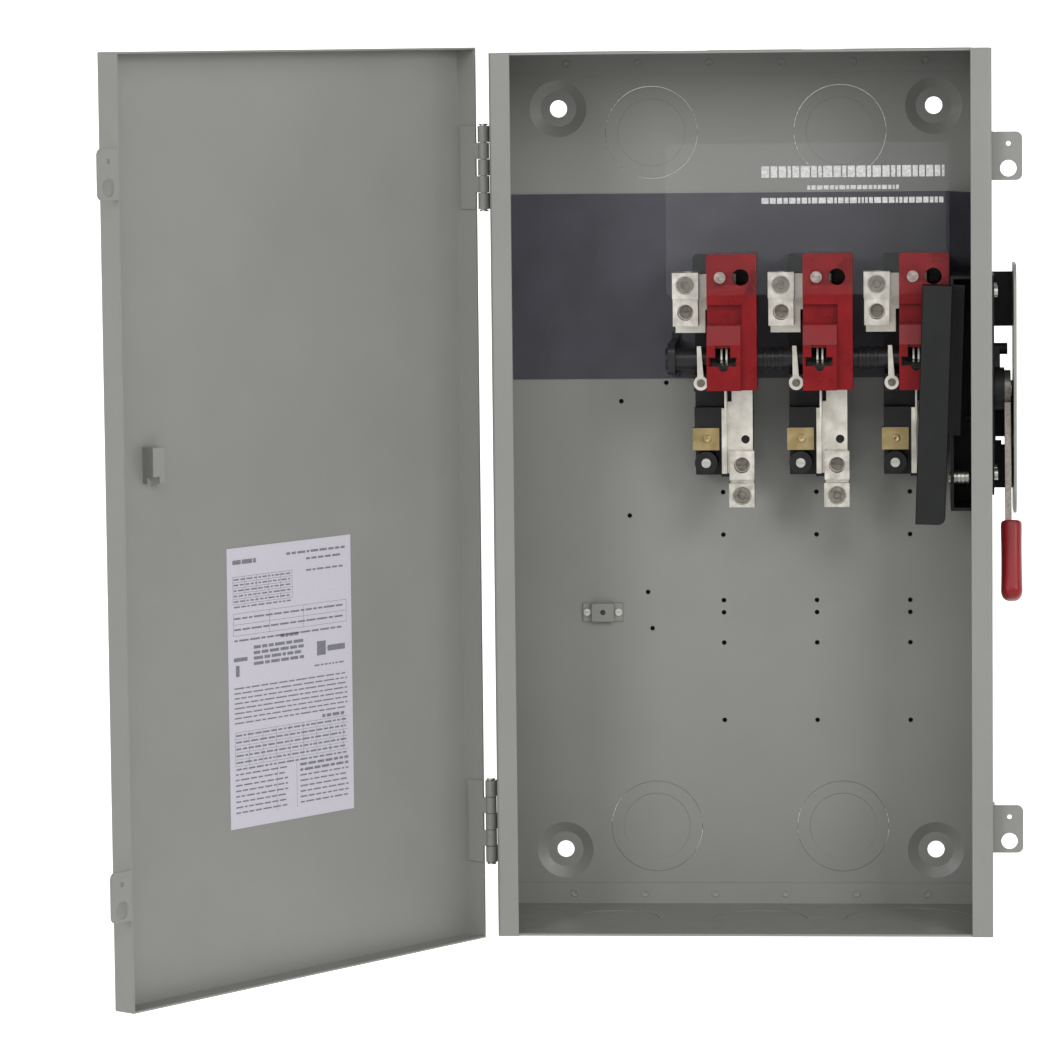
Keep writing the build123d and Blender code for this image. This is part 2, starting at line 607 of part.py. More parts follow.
    # moving blades: a pair of plated copper bars across the rotor, drawn OFF
    with BuildPart() as blades:
        for side in (-1, 1):
            x = px + blade_centre + side * blade_pitch / 2
            block((x - blade_thick / 2, x + blade_thick / 2),
                  (rotor_y - blade_length, rotor_y + blade_length),
                  (rotor_z - blade_width / 2, rotor_z + blade_width / 2))
        fillet(blades.edges().filter_by(Axis.X), 3)
    tilt(blades, rotor_y, rotor_z, -blade_off)
    keep(blades, f"blades_{number}")


# ---- fasteners and small parts of the poles -----------------------------------------------------------
def socket_screw(x, y, z, shank):
    """Wire set screw along Y: head from y inwards with a hexagon socket, and a shank of length shank."""
    rod_y(x, (y, y + set_head - 0.2), z, set_head_r)
    rod_y(x, (y + set_head - 0.2, y + set_head + shank), z, set_screw_r)
    with BuildSketch(Plane((x, y, z), x_dir=(1, 0, 0), z_dir=(0, 1, 0))) as hexagon:
        RegularPolygon(set_socket_r, 6)
    extrude(hexagon.sketch, amount=set_head - 0.4, mode=Mode.SUBTRACT)


def slot_screw(x, y, z, head_r, head, shank_r, shank, slot=1.2):
    """Screw with its axis along Y and a straight slot across its head."""
    rod_y(x, (y, y + head), z, head_r)
    rod_y(x, (y + head, y + head + shank), z, shank_r)
    block((x - head_r, x + head_r), (y - 1, y + 0.9), (z - slot / 2, z + slot / 2), Mode.SUBTRACT)


with BuildPart() as set_screws:
    for px in pole_x:
        for x, y, bore_y, z in ((px + lug_x, line_lug_y[0], line_bore_y, line_set_z),
                                (px + load_x, load_lug_y[0], load_bore_y, load_set_z)):
            socket_screw(x, y + 0.2, z, bore_y - wire_r - y - set_head - 0.2)
keep(set_screws, "wire_set_screws")

head_r, head = lug_screw_head
with BuildPart() as lug_screws:
    for px in pole_x:
        for x, y, z in ((px + lug_x, line_lug_y, line_screw_z), (px + load_x, load_lug_y, load_screw_z)):
            shank = y[1] + strap + 3.0 - (y[0] + recess_depth)
            slot_screw(x, y[0] + recess_depth - head, z, head_r, head, screw_clear_r, shank)
keep(lug_screws, "lug_screws")

with BuildPart() as base_screws:
    for px in pole_x:
        slot_screw(px + boss_x, load_post_y - 2.4, boss_z, 3.8, 2.4, tapped_r, back_y - load_post_y - 1.0)
        slot_screw(px + strap_screw_x, line_strap_y[0] - 2.0, strap_screw_z, 3.4, 2.0, tapped_r, strap + 8.0)
keep(base_screws, "base_screws")

with BuildPart() as arc_shield_screws:
    for px in pole_x:
        slot_screw(px + screw_x, shield_y[0] - 1.8, screw_z, 4.6, 1.8, tapped_r, line_post_y - red_y[0] + 13)
keep(arc_shield_screws, "arc_shield_screws")

with BuildPart() as brass_straps:
    for px in pole_x:
        left, right = px + brass_x[0], px + brass_x[1]
        block((left - brass_thick, right), (load_post_y - brass_thick, load_post_y), brass_z)
        block((left - brass_thick, left), (load_post_y, load_post_y + 12), brass_z)
keep(brass_straps, "brass_straps")

with BuildPart() as terminal_arms:
    for px in pole_x:
        with BuildSketch(Plane((px + arm_x, arm_y, arm_z), x_dir=(1, 0, 0), z_dir=(0, -1, 0))):
            Circle(arm_ring_r)
            with BuildLine():
                Polyline((-arm_width[0] / 2, 0), (arm_width[0] / 2, 0), (0.4, arm_top - arm_z),
                         (0.4 - arm_width[1], arm_top - arm_z), close=True)
            make_face()
            Circle(rivet_r, mode=Mode.SUBTRACT)
        extrude(amount=arm_thick)
keep(terminal_arms, "terminal_arms")

with BuildPart() as arm_rivets:
    for px in pole_x:
        rod_y(px + arm_x, (arm_y - arm_thick - 0.8, arm_y - arm_thick), arm_z, rivet_r + 0.8)
        rod_y(px + arm_x, (arm_y - arm_thick, arm_y + 8), arm_z, tapped_r)
keep(arm_rivets, "arm_rivets")

# ---- rotor: moulded crossbar that carries the blades of all the poles ----------------------------------
rotor_x = (pole_x[0] - bar_left, frame_x + bar_right)
with BuildPart() as rotor_bar:
    rod_x(rotor_x, rotor_y, rotor_z, rotor_r)
    for px in pole_x:
        rod_x((px + blade_centre - 6.3, px + blade_centre + 6.3), rotor_y, rotor_z, hub_r)
    for px in pole_x[1:]:
        for n in (-1, 0, 1):
            middle = px + blade_centre - pole_pitch / 2 + n * 2 * collar_width
            rod_x((middle - collar_width / 2, middle + collar_width / 2), rotor_y, rotor_z, collar_r)
    for px in pole_x:
        for side in (-1, 1):
            x = px + blade_centre + side * blade_pitch / 2
            block((x - blade_thick / 2, x + blade_thick / 2), (rotor_y - 20, rotor_y + 20),
                  (rotor_z - blade_width / 2, rotor_z + blade_width / 2), Mode.SUBTRACT)
tilt(rotor_bar, rotor_y, rotor_z, -blade_off)
keep(rotor_bar, "rotor_bar")

crank_x = (rotor_x[1] - 3.0, rotor_x[1])
with BuildPart() as rotor_crank:
    through = (crank_x[0] - 1, crank_x[1] + 1)
    rod_x(crank_x, rotor_y, rotor_z, rotor_r + 5.2)
    block(crank_x, (rotor_y - 30, rotor_y), (rotor_z - 6, rotor_z + 6))
    fillet(rotor_crank.edges().filter_by(Axis.X).group_by(Axis.Y)[0], 5)
    block(through, (rotor_y - 26, rotor_y - 17), (rotor_z - 2.6, rotor_z + 2.6), Mode.SUBTRACT)
    rod_x(through, rotor_y, rotor_z, rotor_r, Mode.SUBTRACT)
tilt(rotor_crank, rotor_y, rotor_z, -blade_off)
keep(rotor_crank, "rotor_crank")

bearing_x = (rotor_x[0] + 2, rotor_x[0] + 8)
with BuildPart() as rotor_bearing:
    block(bearing_x, (rotor_y - rotor_r - 4, base_y), (rotor_z - rotor_r - 4, rotor_z + rotor_r + 4))
    fillet(rotor_bearing.edges().filter_by(Axis.X).group_by(Axis.Y)[0], 8)
    block(bearing_x, (base_y - 4, base_y), (rotor_z - rotor_r - 9, rotor_z + rotor_r + 9))
    rod_x((bearing_x[0] - 1, bearing_x[1] + 1), rotor_y, rotor_z, rotor_r + running, Mode.SUBTRACT)
keep(rotor_bearing, "rotor_bearing")

# ---- mechanism frame, cover and drive -------------------------------------------------------------------
face_x = (frame_x, frame_x + frame_sheet)
with BuildPart() as mechanism_frame:
    block((frame_x, wall_x), frame_y, frame_z)
    block((face_x[1], wall_x - frame_sheet), (frame_y[0] - 1, frame_y[1] - frame_sheet),
          (frame_z[0] + frame_sheet, frame_z[1] - frame_sheet), Mode.SUBTRACT)
    rod_x((face_x[0] - 1, face_x[1] + 1), rotor_y, rotor_z, rotor_r + running, Mode.SUBTRACT)
    rod_x((wall_x - frame_sheet - 1, wall_x + 1), handle_y, handle_z, handle_shaft_r + running, Mode.SUBTRACT)
    rod_x((face_x[0] - 1, face_x[1] + 1), anchor_y, anchor_z, 3.0, Mode.SUBTRACT)
keep(mechanism_frame, "mechanism_frame")

with BuildPart() as mechanism_cover:
    cover_x = (frame_x - cover_top[0], frame_x - cover_top[0] + cover_face)
    cover_z = (cover_bottom[1], cover_top[1])
    block(cover_x, cover_y, cover_z)
    fillet(mechanism_cover.edges().filter_by(Axis.Y).group_by(Axis.Z)[0].sort_by(Axis.X)[-1], 6)
    fillet(mechanism_cover.edges().group_by(Axis.Y)[0], 1.2)
    block((cover_x[0] + cover_sheet, cover_x[1] - cover_sheet), (cover_y[0] + cover_sheet, cover_y[1] + 1),
          (cover_z[0] + 6, cover_z[1] - cover_sheet), Mode.SUBTRACT)
    block((cover_x[1] - cover_sheet, cover_x[1] + 10), (cover_y[1] - cover_sheet, cover_y[1]),
          (cover_z[0] + 70, cover_z[1]))
lean_axis = Axis((cover_x[0], 0, cover_top[1]), (0, 1, 0))
mechanism_cover.part = mechanism_cover.part.rotate(lean_axis, cover_lean)
keep(mechanism_cover, "mechanism_cover")

with BuildPart() as spring_anchor:
    rod_x((face_x[0] - 1.6, face_x[0]), anchor_y, anchor_z, 4.5)
    rod_x(face_x, anchor_y, anchor_z, 3.0)
    rod_x((face_x[1], face_x[1] + 12.2), anchor_y, anchor_z, 6.0)
    for n in range(4):
        x = face_x[1] + n * 3.2
        rod_x((x, x + 2.2), anchor_y, anchor_z, 7.0)
keep(spring_anchor, "spring_anchor")

with BuildPart() as handle_shaft:
    rod_x(shaft_x, handle_y, handle_z, handle_shaft_r)
keep(handle_shaft, "handle_shaft")

drive_x = (shaft_x[0], shaft_x[0] + 3)
with BuildPart() as handle_crank:
    rod_x(drive_x, handle_y, handle_z, handle_shaft_r + 6)
    block(drive_x, (handle_y - 6, handle_y + 6), (handle_z - 30, handle_z))
    fillet(handle_crank.edges().filter_by(Axis.X).group_by(Axis.Z)[0], 5)
    rod_x((drive_x[0] - 1, drive_x[1] + 1), handle_y, handle_z, handle_shaft_r, Mode.SUBTRACT)
    rod_x((crank_x[1] + crank_clear, drive_x[0]), handle_y, handle_z - 24, 2.5)
tilt(handle_crank, handle_y, handle_z, -handle_tilt)
keep(handle_crank, "handle_crank")

with BuildPart() as drive_spring:
    with BuildLine():
        coil = Helix(pitch=2.4, height=4.8, radius=handle_shaft_r + 3.0,
                     center=(drive_x[1] + 1.4, handle_y, handle_z), direction=(1, 0, 0))
    with BuildSketch(Plane(origin=coil @ 0, z_dir=coil % 0)):
        Circle(1.0)
    sweep(is_frenet=True)
keep(drive_spring, "drive_spring")

# ---- handle outside the right wall ----------------------------------------------------------------------
plate_x = (half_w, half_w + bracket_sheet)
with BuildPart() as handle_bracket:
    through = (plate_x[0] - 1, plate_x[1] + 1)
    web = (web_y - bracket_sheet, web_y)
    slot_y = (web[0] - 1, web[1] + 1)
    block(plate_x, (guard_y[0] + bracket_margin, web_y), bracket_z)
    fillet(handle_bracket.edges().filter_by(Axis.X).group_by(Axis.Y)[0], 10)
    block((half_w, bracket_x), web, web_upper_z)
    block((half_w, bracket_x), web, web_lower_z)
    block((half_w + 4.6, half_w + 12.2), slot_y, (34.5, 37.5), Mode.SUBTRACT)
    block((half_w + 9.2, half_w + 12.2), slot_y, (31.0, 35.0), Mode.SUBTRACT)
    rod_x(through, handle_y, handle_z, handle_shaft_r + 1.5, Mode.SUBTRACT)
    for dy, z in bracket_bolts:
        rod_x(through, handle_y + dy, z, bolt_r, Mode.SUBTRACT)
keep(handle_bracket, "handle_bracket")

with BuildPart() as bracket_screws:
    for dy, z in bracket_bolts:
        head_x = plate_x[1] + 3.0
        rod_x((plate_x[1], head_x), handle_y + dy, z, bolt_r + 2.1)
        rod_x(plate_x, handle_y + dy, z, bolt_r)
        with BuildSketch(Plane((head_x, handle_y + dy, z), x_dir=(0, 1, 0), z_dir=(1, 0, 0))):
            RegularPolygon(2.4, 6)
        extrude(amount=-1.8, mode=Mode.SUBTRACT)
keep(bracket_screws, "bracket_screws")

with BuildPart() as guard_plate:
    block((bracket_x, bracket_x + guard_sheet), guard_y, guard_z)
    fillet(guard_plate.edges().filter_by(Axis.X).group_by(Axis.Y)[0], 22)
    fillet(guard_plate.edges().filter_by(Axis.X).group_by(Axis.Y)[-1], 8)
keep(guard_plate, "guard_plate")

hub_x = (plate_x[1] + 0.5, lever_x[0])
with BuildPart() as handle_hub:
    rod_x(hub_x, handle_y, handle_z, 17.0)
    block((hub_x[0], hub_x[0] + 4.5), (handle_y - 5, handle_y + 5), (handle_z, handle_z + 34))
    rod_x((hub_x[0], hub_x[0] + 10.5), handle_y, handle_z + 33, 4.6)
    rod_x((hub_x[0] - 1, hub_x[1] + 1), handle_y, handle_z, handle_shaft_r, Mode.SUBTRACT)
tilt(handle_hub, handle_y, handle_z, -handle_tilt)
keep(handle_hub, "handle_hub")

grip_bottom = handle_z - handle_reach
lever_y = (handle_y - lever_width / 2, handle_y + lever_width / 2)
lever_z = (grip_bottom + 8, handle_z)
with BuildPart() as handle_lever:
    rod_x(lever_x, handle_y, handle_z, 15.0)
    block(lever_x, lever_y, lever_z)
    rod_x((lever_x[0] - 1, lever_x[1] + 1), handle_y, handle_z, handle_shaft_r, Mode.SUBTRACT)
tilt(handle_lever, handle_y, handle_z, -handle_tilt)
keep(handle_lever, "handle_lever")

with BuildPart() as handle_grip:
    grip_x = sum(lever_x) / 2 + grip_offset
    width, depth = grip_size
    block((grip_x - width / 2, grip_x + width / 2), (handle_y - depth / 2, handle_y + depth / 2),
          (grip_bottom, grip_bottom + grip_length))
    fillet(handle_grip.edges(), grip_round)
    block(lever_x, lever_y, lever_z, Mode.SUBTRACT)
tilt(handle_grip, handle_y, handle_z, -handle_tilt)
keep(handle_grip, "handle_grip")

# ---- ground strap: a bridge for the grounding kit, screwed to the back wall ------------------------------
with BuildPart() as ground_strap:
    gx, gz = -half_w + ground_inset, ground_z
    strap_z = (gz - 7.5, gz + 7.5)
    for side in (-1, 1):
        block((gx + side * 7.5, gx + side * 16.5), (back_y - 1.6, back_y), strap_z)
        block((gx + side * 7.5, gx + side * 9.1), (back_y - 5.6, back_y), strap_z)
    block((gx - 9.1, gx + 9.1), (back_y - 5.6, back_y - 4.0), strap_z)
    rod_y(gx, (back_y - 6, back_y - 3), gz, 2.2, Mode.SUBTRACT)
    for side in (-1, 1):
        rod_y(gx + side * 13.0, (back_y - 2, back_y + 1), gz, 1.6, Mode.SUBTRACT)
keep(ground_strap, "ground_strap")

with BuildPart() as ground_screws:
    for side in (-1, 1):
        slot_screw(gx + side * 13.0, back_y - 3.2, gz, 3.0, 1.6, 1.6, 1.6, 0.9)
keep(ground_screws, "ground_screws")
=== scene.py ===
import json
import math

import bpy
import numpy as np
from mathutils import Matrix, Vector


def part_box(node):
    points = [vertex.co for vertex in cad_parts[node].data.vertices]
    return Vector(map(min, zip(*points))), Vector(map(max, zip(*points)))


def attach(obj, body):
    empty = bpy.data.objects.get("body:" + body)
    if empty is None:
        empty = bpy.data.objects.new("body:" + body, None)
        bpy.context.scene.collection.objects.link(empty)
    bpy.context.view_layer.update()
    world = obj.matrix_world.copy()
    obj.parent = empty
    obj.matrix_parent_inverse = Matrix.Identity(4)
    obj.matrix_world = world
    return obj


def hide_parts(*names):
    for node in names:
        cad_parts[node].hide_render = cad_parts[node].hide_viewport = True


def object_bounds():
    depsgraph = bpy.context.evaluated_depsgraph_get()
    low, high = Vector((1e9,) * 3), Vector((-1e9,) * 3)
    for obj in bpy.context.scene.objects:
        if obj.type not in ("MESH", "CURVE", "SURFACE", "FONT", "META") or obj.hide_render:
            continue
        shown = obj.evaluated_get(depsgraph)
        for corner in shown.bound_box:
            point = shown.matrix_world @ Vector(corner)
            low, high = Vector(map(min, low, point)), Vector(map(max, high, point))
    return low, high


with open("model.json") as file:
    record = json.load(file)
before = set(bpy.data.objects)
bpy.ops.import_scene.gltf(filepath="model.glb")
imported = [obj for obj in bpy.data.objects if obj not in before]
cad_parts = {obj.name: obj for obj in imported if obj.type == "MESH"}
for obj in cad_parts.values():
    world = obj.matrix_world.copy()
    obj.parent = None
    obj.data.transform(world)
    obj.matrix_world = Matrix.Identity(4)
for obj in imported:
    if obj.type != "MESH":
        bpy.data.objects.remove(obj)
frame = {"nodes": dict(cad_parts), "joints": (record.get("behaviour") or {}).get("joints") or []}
cad_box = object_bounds()
cad = frame["nodes"]

# ---- studio ------------------------------------------------------------------------------------------
# A bowl of pale paper around the box that glows as painted light, brighter behind the box than in front,
# soft lights on the left, on the right and high in front, and a camera standing about four metres in front
# of the open box, a little above its middle.
paper_drop = 1.2                                # the paper lies this far below the box
paper_radius, paper_turn, paper_top = 6.5, 2.0, 6.0


def new_piece(name, points, faces, smooth=True):
    """One mesh object at the origin from an array of points and lists of corner numbers."""
    mesh = bpy.data.meshes.new(name)
    mesh.from_pydata(np.asarray(points, float).reshape(-1, 3).tolist(), [], faces)
    mesh.polygons.foreach_set("use_smooth", np.full(len(mesh.polygons), smooth))
    mesh.update()
    made = bpy.data.objects.new(name, mesh)
    bpy.context.scene.collection.objects.link(made)
    return made


def grid_faces(rows, columns):
    """Quads of a closed tube of rows by columns points: the last column joins the first."""
    row, column = np.meshgrid(np.arange(rows - 1), np.arange(columns), indexing="ij")
    right = (column + 1) % columns
    quads = np.stack([row * columns + column, row * columns + right,
                      (row + 1) * columns + right, (row + 1) * columns + column], -1)
    return quads.reshape(-1, 4).tolist()


def colour(code):
    """An sRGB hex code as the linear colour that shaders use."""
    value = np.array([int(code[n:n + 2], 16) for n in (0, 2, 4)]) / 255
    linear = np.where(value <= 0.04045, value / 12.92, ((value + 0.055) / 1.055) ** 2.4)
    return (*linear.tolist(), 1.0)


def add(tree, kind, sockets=None, **settings):
    """Add one shader node: settings by name, and sockets as a value or as another node's output."""
    made = tree.nodes.new(kind)
    for name, value in settings.items():
        setattr(made, name, value)
    for name, value in (sockets or {}).items():
        if isinstance(value, bpy.types.NodeSocket):
            tree.links.new(value, made.inputs[name])
        else:
            made.inputs[name].default_value = value
    return made


def finish_of(name, **sockets):
    """A new material with a Principled shader, and its node tree."""
    material = bpy.data.materials.new(name)
    material.use_nodes = True
    tree = material.node_tree
    tree.nodes.clear()
    shader = add(tree, "ShaderNodeBsdfPrincipled", sockets)
    add(tree, "ShaderNodeOutputMaterial", {"Surface": shader.outputs["BSDF"]})
    return material, tree, shader


def join(tree, shader, name, output):
    """Feed a shader's socket from another node's output."""
    tree.links.new(output, shader.inputs[name])


# the bowl: a flat disc, a quarter circle up and a straight wall, carried once around Z
paper_z = cad_box[0][2] - paper_drop
quarter = np.linspace(0, math.pi / 2, 16)
bowl_r = np.concatenate([[0.001], paper_radius + paper_turn * np.sin(quarter), [paper_radius + paper_turn]])
bowl_z = np.concatenate([[0.0], paper_turn * (1 - np.cos(quarter)), [paper_top]]) + paper_z
around = np.linspace(0, 2 * math.pi, 96, endpoint=False)
bowl = np.stack([np.outer(bowl_r, np.cos(around)), np.outer(bowl_r, np.sin(around)),
                 np.repeat(bowl_z[:, None], len(around), 1)], -1)
floor = new_piece("floor", bowl, [face[::-1] for face in grid_faces(len(bowl_r), len(around))])
paper, tree, shader = finish_of("glowing_studio_paper", Roughness=0.9)
shader.inputs["Base Color"].default_value = colour("c9c9c7")
shader.inputs["Emission Color"].default_value = colour("ffffff")
# The paper glows as painted light, brighter behind the box than in front: its emission runs from 0.40 at Y
# -2 m to 0.86 at Y 2.5 m.
place = add(tree, "ShaderNodeTexCoord").outputs["Object"]
depth = add(tree, "ShaderNodeSeparateXYZ", {"Vector": place}).outputs["Y"]
glow = add(tree, "ShaderNodeMapRange", {"Value": depth, "From Min": -2.0, "From Max": 2.5,
                                        "To Min": 0.40, "To Max": 0.86})
join(tree, shader, "Emission Strength", glow.outputs["Result"])
floor.data.materials.append(paper)


def soft_light(name, place, target, size, watts):
    """A rectangular area light at place, facing target."""
    lamp = bpy.data.lights.new(name, "AREA")
    lamp.shape = "RECTANGLE"
    lamp.size, lamp.size_y = size
    lamp.energy = watts
    made = bpy.data.objects.new(name, lamp)
    bpy.context.scene.collection.objects.link(made)
    aim = np.array(target, float) - np.array(place, float)
    aim /= np.linalg.norm(aim)
    side = np.cross(aim, (0, 0, 1))
    side /= np.linalg.norm(side)
    up = np.cross(side, aim)
    facing = Matrix(np.stack([side, up, -aim], 1).tolist()).to_4x4()
    made.matrix_world = Matrix.Translation(place) @ facing


soft_light("left_light", (-1.9, -3.3, 1.1), (0, 0, 0), (1.0, 1.2), 38)
soft_light("right_light", (2.1, -3.1, 1.3), (0, 0, 0), (1.0, 1.2), 48)
soft_light("front_light", (0.3, -3.9, 2.6), (0, 0, 0), (2.2, 1.0), 34)

world = bpy.data.worlds.new("studio_air")
bpy.context.scene.world = world
world.use_nodes = True
air = world.node_tree.nodes["Background"]
air.inputs["Color"].default_value = colour("ffffff")
air.inputs["Strength"].default_value = 0.30
bpy.context.scene.view_settings.view_transform = "Standard"

camera_place = (0.1329, -4.1080, 0.3595)
camera_yaw, camera_pitch, camera_roll = 4.389, -5.472, 0.631
focal_length, sensor = 172.07, 36.0
camera = bpy.data.objects.new("camera", bpy.data.cameras.new("camera"))
camera.data.lens = focal_length
camera.data.sensor_width = sensor
camera.data.sensor_fit = "HORIZONTAL"
camera.data.clip_end = 50
bpy.context.scene.collection.objects.link(camera)
camera.matrix_world = (Matrix.Translation(camera_place) @ Matrix.Rotation(math.radians(camera_yaw), 4, "Z")
                       @ Matrix.Rotation(math.radians(90 + camera_pitch), 4, "X")
                       @ Matrix.Rotation(math.radians(-camera_roll), 4, "Z"))
bpy.context.scene.camera = camera


# ---- box shell -----------------------------------------------------------------------------------------
# The folded steel wrap, its welded end walls and its knockouts, under light grey enamel that is sprayed
# and baked: satin, very slightly cloudy, with fine orange peel.
noise_low, noise_high = 0.3, 0.7                # nearly all of a noise texture's values lie between these


def clouded(tree, light, dark, scale, detail=3.0):
    """A soft cloud between two colours: (colour output, cloud output, place output)."""
    place = add(tree, "ShaderNodeTexCoord").outputs["Object"]
    cloud = add(tree, "ShaderNodeTexNoise", {"Vector": place, "Scale": scale, "Detail": detail})
    tone = add(tree, "ShaderNodeValToRGB", {"Fac": cloud.outputs["Fac"]})
    low, high = tone.color_ramp.elements
    low.color, low.position = colour(dark), noise_low
    high.color, high.position = colour(light), noise_high
    return tone.outputs["Color"], cloud.outputs["Fac"], place


def surface(tree, shader, place, patches, gloss, scale, detail, depth, edge):
    """What the light catches: roughness that follows the patches between the two gloss limits, a relief of
    fine noise no more than 0.2 mm deep, and edges rounded off by the radius edge."""
    rough = add(tree, "ShaderNodeMapRange", {"Value": patches, "From Min": noise_low, "From Max": noise_high,
                                             "To Min": gloss[0], "To Max": gloss[1]})
    join(tree, shader, "Roughness", rough.outputs["Result"])
    grain = add(tree, "ShaderNodeTexNoise", {"Vector": place, "Scale": scale, "Detail": detail})
    rounded = add(tree, "ShaderNodeBevel", {"Radius": edge}, samples=4)
    relief = add(tree, "ShaderNodeBump", {"Height": grain.outputs["Fac"], "Strength": depth,
                                          "Distance": 0.0002, "Normal": rounded.outputs["Normal"]})
    join(tree, shader, "Normal", relief.outputs["Normal"])


def enamel(name, light, dark, peel_depth, rough=0.42, edge=0.0006):
    """Baked enamel: clouds of 90 mm, dust marks of 16 mm in the gloss, orange peel of 1.6 mm, and sheet
    edges that the paint rounds off."""
    material, tree, shader = finish_of(name, Roughness=rough)
    tone, _, place = clouded(tree, light, dark, 11.0)
    join(tree, shader, "Base Color", tone)
    dust = add(tree, "ShaderNodeTexNoise", {"Vector": place, "Scale": 60.0, "Detail": 4.0})
    surface(tree, shader, place, dust.outputs["Fac"], (rough - 0.04, rough + 0.05), 620.0, 2.0,
            peel_depth, edge)
    return material


def dress(material, *names):
    """Give CAD nodes one material."""
    for name in names:
        cad[name].data.materials.clear()
        cad[name].data.materials.append(material)


grey_enamel = enamel("light_grey_enamel", "81817e", "7d7d7a", 0.12)
dress(grey_enamel, "enclosure_wrap", "top_endwall", "bottom_endwall", "knockouts")


def turned(name, places, profile, material, body, around=24):
    """Rings or studs of revolution about Y: profile is (radius, height) pairs, and a point is its centre
    + radius times (cos, -sin) across X and Z + height along Y."""
    radius, height = np.array(profile, float).T
    angle = np.linspace(0, 2 * math.pi, around, endpoint=False)
    across, up = np.outer(radius, np.cos(angle)), np.outer(radius, np.sin(angle))
    along = np.repeat(height[:, None], around, 1)
    ring = np.stack([across, along, -up], -1).reshape(-1, 3)
    faces = np.array(grid_faces(len(radius), around))
    points = np.concatenate([ring + np.array(place) for place in places])
    quads = np.concatenate([faces + n * len(ring) for n in range(len(places))])
    made = new_piece(name, points, quads.tolist())
    made.data.materials.append(material)
    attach(made, body)


# Six spot welds join each end wall's flange to the back: shallow dished marks about 7 mm across.
bottom_high, top_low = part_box("bottom_endwall")[1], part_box("top_endwall")[0]
flange_gauge, weld_inset, weld_pitch = 0.0015, 0.0085, 0.058
hair = 0.00002                                  # a mark's rim stands this far off the metal under it
weld_profile = [(0.0037, 0.0), (0.0034, -0.00035), (0.0028, -0.00045), (0.0020, -0.00005), (0.0, 0.0)]
weld_y = bottom_high[1] - flange_gauge - hair
weld_places = [(x, weld_y, z) for x in np.arange(-2.5, 3) * weld_pitch
               for z in (bottom_high[2] - weld_inset, top_low[2] + weld_inset)]
turned("end_wall_spot_welds", weld_places, weld_profile, grey_enamel, "enclosure")

# ---- blind nuts ----------------------------------------------------------------------------------------
# Small closed nuts clinched behind the back wall. Their near black is painted shade: it stands for the dark
# inside of their threaded holes.
# near-black colour painted in for the shade inside the holes
hole_shade_black, tree, shader = finish_of("hole_shade_black_steel", Roughness=0.6, Metallic=0.6)
join(tree, shader, "Base Color", clouded(tree, "141414", "0a0a0a", 300.0)[0])
dress(hole_shade_black, "blind_nuts")

# ---- hinges --------------------------------------------------------------------------------------------
# Rolled steel leaves under the same enamel, on zinc plated pins that are peened over at both ends.
dress(grey_enamel, "box_hinge_leaves", "door_hinge_leaves")


def plated(name, light, dark, rough, scale=90.0):
    """Plated metal: two near colours in a mottle, 11 mm wide at a scale of 90, which also varies the gloss,
    and fine drawing lines at about 0.5 mm."""
    material, tree, shader = finish_of(name, Metallic=1.0, Roughness=rough)
    tone, mottle, place = clouded(tree, light, dark, scale, 4.0)
    join(tree, shader, "Base Color", tone)
    surface(tree, shader, place, mottle, (rough - 0.06, rough + 0.06), 1900.0, 2.0, 0.12, 0.0004)
    return material


zinc = plated("zinc_plate", "cfcfc9", "b0b0aa", 0.36)
dress(zinc, "hinge_pins")

# ---- door ----------------------------------------------------------------------------------------------
# A shallow pan folded from one sheet, with two padlock ears welded to its free side and the interlock
# catch welded inside, all enamelled like the box. The box's own ears are welded to its right wall.
dress(grey_enamel, "door_panel", "door_hasps", "door_catch", "box_hasps")

# ---- door label ----------------------------------------------------------------------------------------
# A matt paper label stuck inside the door. Rules and grey bars of uneven length stand for its print.
label_paper, tree, shader = finish_of("label_paper", Roughness=0.62)
join(tree, shader, "Base Color", clouded(tree, "bdbac4", "b4b1bb", 900.0)[0])
dress(label_paper, "door_label")
ink, tree, shader = finish_of("grey_ink", Roughness=0.6)
join(tree, shader, "Base Color", clouded(tree, "7c7a84", "605e68", 700.0)[0])


def place_of(joint):
    """The point that a joint's axis passes through."""
    return np.array(next(j for j in frame["joints"] if j["name"] == joint)["pos_m"], float)


hinge = place_of("door_hinge")
door_open = math.radians(126.0)
knuckle_r, door_flange, door_sheet, label_thick = 0.0045, 0.0201, 0.0015, 0.0003
label_face = hinge[1] - knuckle_r - door_flange + door_sheet + label_thick
label_right, label_top = 0.0735, -0.0205        # the corner nearest the free side, with the door closed
ink_rise = 0.00006                              # print stands this far off what it is printed on


def on_door(points):
    """Turn points given for the closed door about the hinge to where the open door holds them."""
    out = np.array(points, float)
    dx, dy = out[:, 0] - hinge[0], out[:, 1] - hinge[1]
    c, s = math.cos(-door_open), math.sin(-door_open)
    out[:, 0] = hinge[0] + c * dx - s * dy
    out[:, 1] = hinge[1] + s * dx + c * dy
    return out


